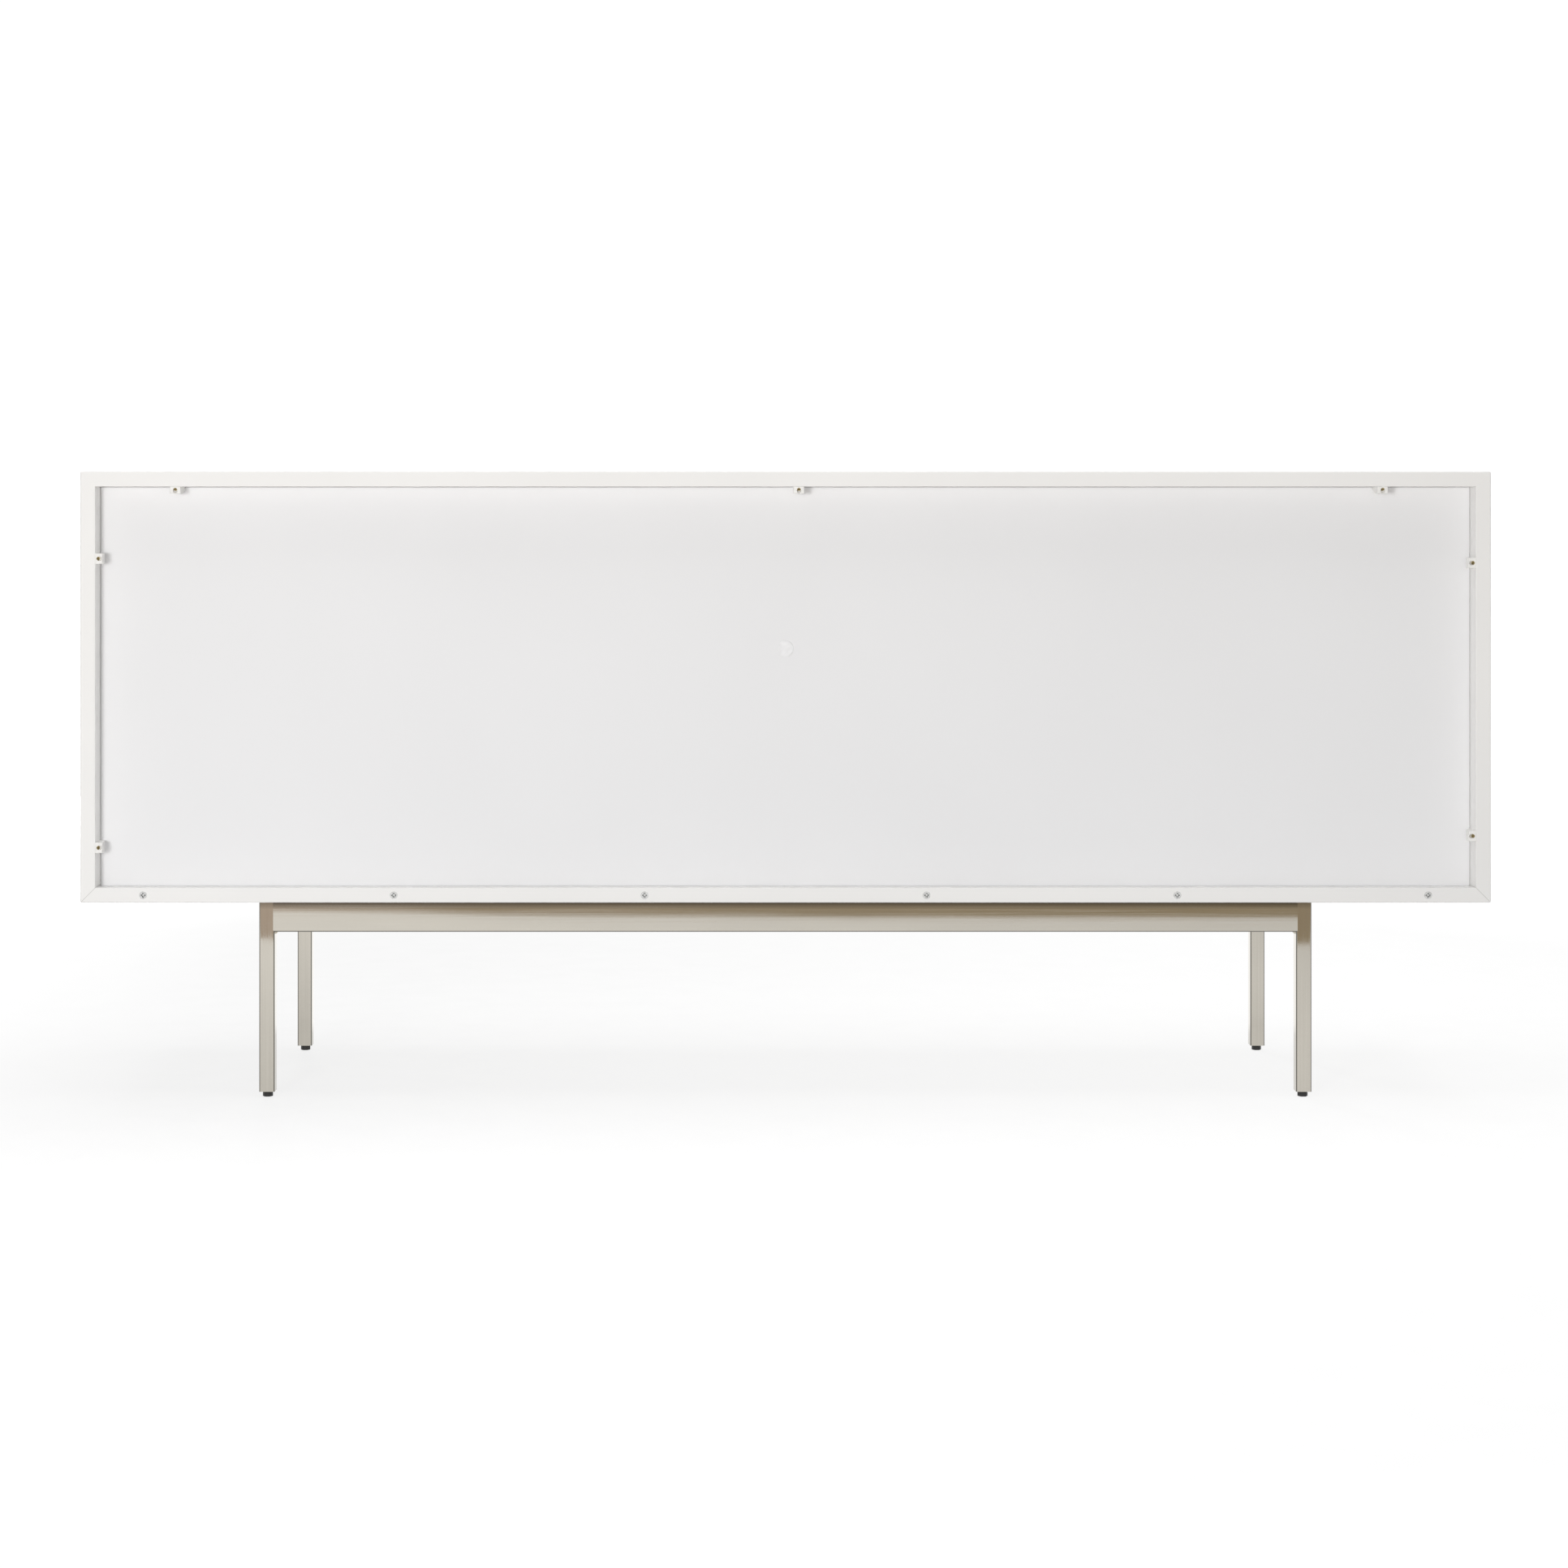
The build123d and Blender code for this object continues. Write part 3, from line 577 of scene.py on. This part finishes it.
class CABINET_OT_fittings(bpy.types.Operator):
    """Finish the clips, latches, pivots, pins and washers"""

    bl_idname = "cabinet.fittings"
    bl_label = "Clips, Latches and Pivots"

    def execute(self, context):
        colours = context.scene.cabinet_finishes
        doors = [name for name in frame["bodies"] if name.endswith("_door")]
        plungers = [name.replace("_door", "_plunger") for name in doors]
        white = moulded_plastic("moulded_polypropylene", colours.white_plastic, 0.42, 1.5, 1.49)
        grey = moulded_plastic("moulded_abs", colours.grey_plastic, 0.46, 1.5, 1.54)
        bright = bright_steel("nickel_plated_steel", colours.nickel)
        finish_nodes(white, "top_panel_clips", "side_panel_clips")
        finish_nodes(grey, "latch_housings", *plungers)
        finish_nodes(bright, "case_pivot_plates", "pivot_pins", "shelf_pins", "leg_inserts")
        finish_nodes(bright, *[name + "_leaves" for name in doors], *[name + "_strike" for name in doors])
        finish_nodes(turned_brass("turned_brass", colours.brass), "pivot_washers")
        return {"FINISHED"}


class CABINET_OT_screws(bpy.types.Operator):
    """Make every screw with its cross recess and thread"""

    bl_idname = "cabinet.screws"
    bl_label = "Screws"

    def execute(self, context):
        colours = context.scene.cabinet_finishes
        fittings = context.scene.cabinet_fittings
        zinc = zinc_plate("zinc_plate", colours.zinc, tinted(colours.zinc, 0.75), 0.42)
        yellow = zinc_plate("yellow_zinc_plate", colours.yellow_zinc, linear("#8A7C58"), 0.36)
        doors = [name for name in frame["bodies"] if name.endswith("_door")]
        sets = [(name, "case", "zinc_steel", zinc) for name in (
            "rear_rail_screws", "back_panel_screw", "frame_screws", "latch_screws", "pivot_plate_screws")]
        sets += [(door + "_leaf_screws", door, "zinc_steel", zinc) for door in doors]
        sets += [("clip_screws", "case", "yellow_zinc", yellow)]
        for node, body, slot, material in sets:
            surfaces = [screw_surface(*place, fittings) for place in screw_places(node)]
            make_piece("threaded_" + node, surfaces, material, body, node)
        return {"FINISHED"}


class CABINET_OT_cover_cap(bpy.types.Operator):
    """Make the round cap that covers the back panel's screw"""

    bl_idname = "cabinet.cover_cap"
    bl_label = "Cover Cap"

    def execute(self, context):
        """The face is a shallow dish whose height rises with the square of the radius, up to a rim that
        turns over in a quarter of an ellipse."""
        colours = context.scene.cabinet_finishes
        low, high = (np.array(corner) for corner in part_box("screw_cover_cap"))
        radius, thick = (high[0] - low[0]) / 2, high[1] - low[1]
        rim = context.scene.cabinet_fittings.cap_rim
        flat = np.linspace(0, radius - rim, 12)
        turn = np.linspace(0, math.pi / 2, 9)
        radii = np.concatenate([flat, radius - rim + rim * np.sin(turn), [radius, 0.0]])
        heights = np.concatenate([
            thick * (0.78 + 0.22 * (flat / (radius - rim)) ** 2), thick * np.cos(turn) ** 0.7, [0.0, 0.0]])
        angle = np.linspace(0, 2 * math.pi, 72, endpoint=False)[None, :]
        origin = np.array([(low[0] + high[0]) / 2, low[1], (low[2] + high[2]) / 2])
        shape = (len(radii), angle.shape[1])
        surface = around(origin, np.array([0.0, 1.0, 0.0]), np.broadcast_to(radii[:, None], shape),
                         np.broadcast_to(heights[:, None], shape), np.broadcast_to(angle, shape))
        plastic = moulded_plastic("moulded_cap_plastic", tinted(colours.board, 1.01), 0.4, 1.5, 1.49)
        make_piece("moulded_cover_cap", [surface], plastic, "case", "screw_cover_cap")
        return {"FINISHED"}


class CABINET_OT_welds(bpy.types.Operator):
    """Make the rippled weld beads under the ends of the rails"""

    bl_idname = "cabinet.welds"
    bl_label = "Weld Beads"

    def bead(self, points, legs, ripple):
        """A bead along the corner between a leg and a rail.

        Its section is a triangle in the corner whose long side bulges by a share of its width that rises and
        falls once in each ripple. Its width fades to nothing at both ends with the eighth power of the
        distance from the middle.
        """
        low, high = points.min(axis=0), points.max(axis=0)
        run = 1 if high[1] - low[1] > high[0] - low[0] else 0
        side = 1 - run
        nearest = legs[np.argmin(np.linalg.norm(legs - (low + high)[:2] / 2, axis=1))]
        inward = np.sign((low + high)[side] / 2 - nearest[side])
        corner = np.array([0.0, 0.0, high[2]])
        corner[side] = low[side] if inward > 0 else high[side]
        size = high[2] - low[2]
        share = np.linspace(-1, 1, 60)[:, None]
        across = np.linspace(0, 1, 13)[None, :]
        width = size * (1 - share ** 8)
        place = low[run] + (share + 1) / 2 * (high[run] - low[run])
        swell = 0.1 + 0.1 * np.abs(np.cos(math.pi * (place - low[run]) / ripple))
        bulge = swell * 4 * across * (1 - across)
        out = width * np.minimum(1, across + bulge)
        down = width * np.minimum(1, 1 - across + bulge)
        shape = out.shape
        surface = np.empty((*shape, 3))
        surface[..., run] = np.broadcast_to(place, shape)
        surface[..., side] = corner[side] + inward * out
        surface[..., 2] = corner[2] - down
        spine = np.empty((shape[0], 1, 3))
        spine[..., run] = place
        spine[..., side] = corner[side]
        spine[..., 2] = corner[2]
        return np.concatenate([surface, spine], axis=1)

    def execute(self, context):
        corners = [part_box(name) for name in frame["nodes"] if name.endswith("_leg")]
        legs = np.array([[(low.x + high.x) / 2, (low.y + high.y) / 2] for low, high in corners])
        ripple = context.scene.cabinet_fittings.weld_ripple
        beads = [self.bead(points, legs, ripple) for points in solids_of("frame_welds")]
        metal = welded_stainless("welded_stainless", context.scene.cabinet_finishes.steel)
        make_piece("weld_beads", beads, metal, "case", "frame_welds", sharp=60.0)
        return {"FINISHED"}


class CABINET_OT_feet(bpy.types.Operator):
    """Make the levelling feet: a moulded glide on a threaded steel stud"""

    bl_idname = "cabinet.feet"
    bl_label = "Levelling Feet"

    def execute(self, context):
        colours = context.scene.cabinet_finishes
        nylon = moulded_plastic("moulded_nylon", colours.black_plastic, 0.5, 1.2, 1.53)
        zinc = zinc_plate("zinc_plated_stud", colours.zinc, tinted(colours.zinc, 0.8), 0.3)
        for name in [node for node in frame["nodes"] if node.endswith("_foot")]:
            glide, stud = sorted(solids_of(name), key=lambda points: points[:, 2].min())
            make_piece(name + "_glide", [self.glide(glide)], nylon, name + "_body", name)
            make_piece(name + "_stud", [self.stud(stud, context)], zinc, name + "_body", name)
        return {"FINISHED"}

    def glide(self, points):
        """A turned profile cut by six flats.

        Its radius is the profile's, or the distance to the nearest of six flat sides where that is less. The
        profile is a rounded sole, a groove near the top that is a narrow dip in the radius, and a flat top.
        """
        low, high = points.min(axis=0), points.max(axis=0)
        full, tall = (high[:2] - low[:2]).max() / 2, high[2] - low[2]
        flat = (high[:2] - low[:2]).min() / 2
        turn = np.linspace(0, math.pi / 2, 8)
        sole = 0.9 * MM
        rise = np.linspace(sole, tall - 0.3 * MM, 26)[1:]
        groove = 0.35 * MM * np.exp(-(((rise - 0.74 * tall) / (0.28 * MM)) ** 2))
        radii = np.concatenate([[0], full - sole + sole * np.sin(turn), full - groove, [full - 0.3 * MM, 0]])
        heights = np.concatenate([[0], sole * (1 - np.cos(turn)), rise, [tall, tall]])
        angle = np.linspace(0, 2 * math.pi, 96, endpoint=False)[None, :]
        to_flat = flat / np.cos((angle + math.pi / 6) % (math.pi / 3) - math.pi / 6)
        radius = radii[:, None] * np.minimum(1, to_flat / full)
        origin = np.array([*(low + high)[:2] / 2, low[2]])
        height = np.broadcast_to(heights[:, None], radius.shape)
        return around(origin, np.array([0.0, 0.0, 1.0]), radius, height, np.broadcast_to(angle, radius.shape))

    def stud(self, points, context):
        """A bar whose radius follows the thread, and fades by a chamfer at the top."""
        fittings = context.scene.cabinet_fittings
        low, high = points.min(axis=0), points.max(axis=0)
        crest, tall = (high[0] - low[0]) / 2, high[2] - low[2]
        angle = np.linspace(0, 2 * math.pi, 48, endpoint=False)[None, :]
        height = np.linspace(0, tall, 150)[:, None] + 0 * angle
        radius = thread(angle, height, crest, fittings.stud_root / 2, fittings.stud_pitch)
        radius = np.minimum(radius, crest - 0.8 * MM + (tall - height))
        radius = np.concatenate([0 * angle, radius, 0 * angle])
        height = np.concatenate([0 * angle, height, 0 * angle + tall])
        origin = np.array([*(low + high)[:2] / 2, low[2]])
        return around(origin, np.array([0.0, 0.0, 1.0]), radius, height, np.broadcast_to(angle, radius.shape))


class CABINET_OT_stage(bpy.types.Operator):
    """Set up the white floor, the soft light and the camera"""

    bl_idname = "cabinet.stage"
    bl_label = "Stage"

    def sheet(self, name, across, near, far, height, material):
        """A level sheet whose rows divide the way from a near edge to a far one evenly."""
        share = np.linspace(0, 1, 5)[:, None]
        y = near * (1 - share) + far * share
        x = np.broadcast_to(across, y.shape)
        points = np.stack([x, y, np.full_like(y, height)], axis=-1).reshape(-1, 3)
        columns = len(across)
        row, column = np.mgrid[0:4, 0:columns - 1]
        first = row * columns + column
        faces = np.stack([first, first + 1, first + columns + 1, first + columns], axis=-1).reshape(-1, 4)
        mesh = bpy.data.meshes.new(name)
        mesh.from_pydata(points.tolist(), [], faces.tolist())
        mesh.materials.append(material)
        sheet = bpy.data.objects.new(name, mesh)
        bpy.context.scene.collection.objects.link(sheet)
        return sheet

    def floor_material(self, glow, lift):
        """Matt white background paper that glows, so that it is nearly plain white.

        The glow is one strength for the camera, another for mirrored rays and a third, the lift, for matt
        surfaces. For the camera a soft painted shadow dims it a little under the cabinet, fading out by
        distance on each side, and it grows beyond 1.8 m. For mirrored rays it is painted lighter or darker
        from side to side and with distance, as a painted reflection in the steel.
        """
        material, tree, shader, place = start_material("white_paper", 0.9)
        fibres = noise(tree, place, (60, 60, 60), 3.0)
        shade = blend_colours(tree, spread(tree, fibres, 0.0, 1.0), linear("#7A7A7A"), linear("#7E7E7E"))
        tree.links.new(shade, shader.inputs["Base Color"])
        shader.inputs["Specular IOR Level"].default_value = 0.0
        shader.inputs["Emission Color"].default_value = (1.0, 1.0, 1.0, 1.0)
        rays = add(tree, "ShaderNodeLightPath")
        axes = add(tree, "ShaderNodeSeparateXYZ", {"Vector": place})
        # Painted shadow: the camera's glow is dimmed in a soft patch under the cabinet, deeper towards +X.
        painted_shadow = spread(tree, axes.outputs["X"], 0.0, 0.055, -0.95, 0.6)
        fades = (("X", 1, 0, 0.75, 1.3), ("Y", 1, 0, 0.2, 0.85), ("Y", 1.3, 1, -0.8, -0.25),
                 ("Y", 0, 1, -2.4, -1.2))
        for axis, low, high, start, end in fades:
            fade = spread(tree, axes.outputs[axis], low, high, start, end, "SMOOTHSTEP")
            painted_shadow = add(tree, "ShaderNodeMath", {0: painted_shadow, 1: fade}, operation="MULTIPLY").outputs[0]
        away = add(tree, "ShaderNodeVectorMath", {0: place}, operation="LENGTH").outputs["Value"]
        bright = spread(tree, away, glow, glow + 0.2, 1.8, 3.5)
        bright = add(tree, "ShaderNodeMath", {0: bright, 1: painted_shadow}, operation="SUBTRACT").outputs[0]
        # Painted reflection: the glow that mirrored rays see changes from side to side and with distance
        # behind the cabinet.
        near = spread(tree, axes.outputs["X"], 0.87, 0.8, -0.9, 0.9)
        far = spread(tree, axes.outputs["X"], 0.82, 1.0, -0.9, 0.9)
        mirrored = spread(tree, axes.outputs["Y"], near, far, 0.4, 1.8)
        mirrored = spread(tree, axes.outputs["Y"], 1.1, mirrored, -0.4, -0.3)
        strength = spread(tree, rays.outputs["Is Glossy Ray"], bright, mirrored, 0.0, 1.0)
        strength = spread(tree, rays.outputs["Is Diffuse Ray"], strength, lift, 0.0, 1.0)
        tree.links.new(strength, shader.inputs["Emission Strength"])
        return material

    def painted_reflection_material(self, edge):
        """A painted reflection: a glowing warm brown sheet beyond the paper, painted lighter to one side.
        Only reflections show it.
        """
        material, tree, shader, place = start_material("painted_reflection_sheet", 0.9)
        axes = add(tree, "ShaderNodeSeparateXYZ", {"Vector": place})
        patches = noise(tree, place, (400, 400, 400), 2.0)
        near = blend_colours(tree, spread(tree, patches, 0.0, 1.0), linear("#AC9D82"), linear("#B4A58A"))
        near = blend_colours(tree, spread(tree, axes.outputs["X"], 0.0, 1.0, 0.6, 0.95), near,
                             linear("#CBBCAC"))
        far = blend_colours(tree, spread(tree, axes.outputs["X"], 0.0, 1.0, -0.9, 0.9), linear("#B2A38C"),
                            linear("#D8C8BA"))
        shade = blend_colours(tree, spread(tree, axes.outputs["Y"], 0.0, 1.0, edge, edge + 0.3), near, far)
        shader.inputs["Base Color"].default_value = (0.0, 0.0, 0.0, 1.0)
        tree.links.new(shade, shader.inputs["Emission Color"])
        shader.inputs["Emission Strength"].default_value = 1.0
        shader.inputs["Specular IOR Level"].default_value = 0.0
        return material

    def light(self, name, place, target, size, power, mirrored):
        """A rectangular lamp that the camera doesn't see. Reflections show it only if it is mirrored."""
        lamp = bpy.data.lights.new(name, "AREA")
        lamp.shape = "RECTANGLE"
        lamp.size, lamp.size_y = size
        lamp.energy = power
        made = bpy.data.objects.new(name, lamp)
        made.location = place
        made.rotation_euler = (Vector(target) - Vector(place)).to_track_quat("-Z", "Y").to_euler()
        made.visible_camera = False
        made.visible_glossy = mirrored
        bpy.context.scene.collection.objects.link(made)

    def execute(self, context):
        scene = context.scene
        stage = scene.cabinet_stage
        floor_reach = 60.0
        across = np.linspace(-floor_reach, floor_reach, 5)
        paper = self.floor_material(stage.floor_glow, stage.floor_lift)
        self.sheet("paper_floor", across, np.full(5, -floor_reach), np.full(5, floor_reach), 0.0, paper)
        # The glowing sheet of painted reflection starts at an uneven edge: each tanh is one smooth step along
        # it.
        across = np.linspace(-4, 4, 81)
        edge = stage.sweep_end + 0.035 * (1 + np.tanh((across - 0.62) / 0.12))
        edge -= 0.0125 * (1 - np.tanh((across - 0.05) / 0.2))
        reflection_sheet_finish = self.painted_reflection_material(stage.sweep_end)
        dark = self.sheet("painted_reflection_plane", across, edge, np.full(81, 9.0), 2 * MM, reflection_sheet_finish)
        dark.visible_camera = False
        dark.visible_shadow = False

        world = bpy.data.worlds.new("studio_air")
        world.use_nodes = True
        tree = world.node_tree
        tree.nodes.clear()
        air = add(tree, "ShaderNodeBackground", {"Color": (1, 1, 1, 1), "Strength": stage.air})
        backdrop = add(tree, "ShaderNodeBackground", {"Color": (1, 1, 1, 1), "Strength": 1.05})
        seen = add(tree, "ShaderNodeLightPath").outputs["Is Camera Ray"]
        both = add(tree, "ShaderNodeMixShader", {0: seen, 1: air.outputs[0], 2: backdrop.outputs[0]})
        add(tree, "ShaderNodeOutputWorld", {"Surface": both.outputs[0]})
        scene.world = world

        for side in (1, -1):
            back = "back" if side == 1 else "front"
            self.light(back + "_key", (1.35, 4.4 * side, 0.7), (0.2, 0.2 * side, 0.5), (0.8, 0.8),
                       stage.key_power, mirrored=False)
            self.light(back + "_broad", (0.3, 7.0 * side, 0.95), (0.3, 0.2 * side, 0.6), (6.0, 1.6),
                       stage.front_power, mirrored=True)
        self.light("overhead", (0.0, 0.0, 4.0), (0.0, 0.0, 0.0), (4.0, 3.0), stage.top_power, mirrored=True)

        camera = bpy.data.cameras.new("camera")
        camera.lens = stage.lens
        camera.sensor_width = 36.0  # millimetres, a full frame
        camera.shift_x, camera.shift_y = stage.shift_x, stage.shift_y
        made = bpy.data.objects.new("camera", camera)
        made.location = stage.camera_place
        made.rotation_euler = (math.radians(90), 0.0, math.radians(180))
        scene.collection.objects.link(made)
        scene.camera = made
        scene.view_settings.view_transform = "Standard"
        return {"FINISHED"}


# ---- Panel and registration --------------------------------------------------------------------------


OPERATORS = (
    CABINET_OT_boards,
    CABINET_OT_steel_frame,
    CABINET_OT_fittings,
    CABINET_OT_screws,
    CABINET_OT_cover_cap,
    CABINET_OT_welds,
    CABINET_OT_feet,
    CABINET_OT_stage,
)
SETTINGS = {
    "cabinet_finishes": CabinetFinishes,
    "cabinet_fittings": CabinetFittings,
    "cabinet_stage": CabinetStage,
}


class CABINET_PT_sidebar(bpy.types.Panel):
    """Sizes, colours and steps of the cabinet"""

    bl_idname = "CABINET_PT_sidebar"
    bl_label = "Media Cabinet"
    bl_space_type = "VIEW_3D"
    bl_region_type = "UI"
    bl_category = "Cabinet"

    def draw(self, context):
        for name, group in SETTINGS.items():
            box = self.layout.box()
            for setting in group.__annotations__:
                box.prop(getattr(context.scene, name), setting)
        for operator in OPERATORS:
            self.layout.operator(operator.bl_idname)


def register():
    for group in (*SETTINGS.values(), *OPERATORS, CABINET_PT_sidebar):
        bpy.utils.register_class(group)
    for name, group in SETTINGS.items():
        setattr(bpy.types.Scene, name, bpy.props.PointerProperty(type=group))


def unregister():
    for name in SETTINGS:
        delattr(bpy.types.Scene, name)
    for group in reversed((*SETTINGS.values(), *OPERATORS, CABINET_PT_sidebar)):
        bpy.utils.unregister_class(group)


def main():
    """Runs every step in order."""
    register()
    for operator in OPERATORS:
        group, step = operator.bl_idname.split(".")
        getattr(getattr(bpy.ops, group), step)()


if __name__ == "__main__":
    main()
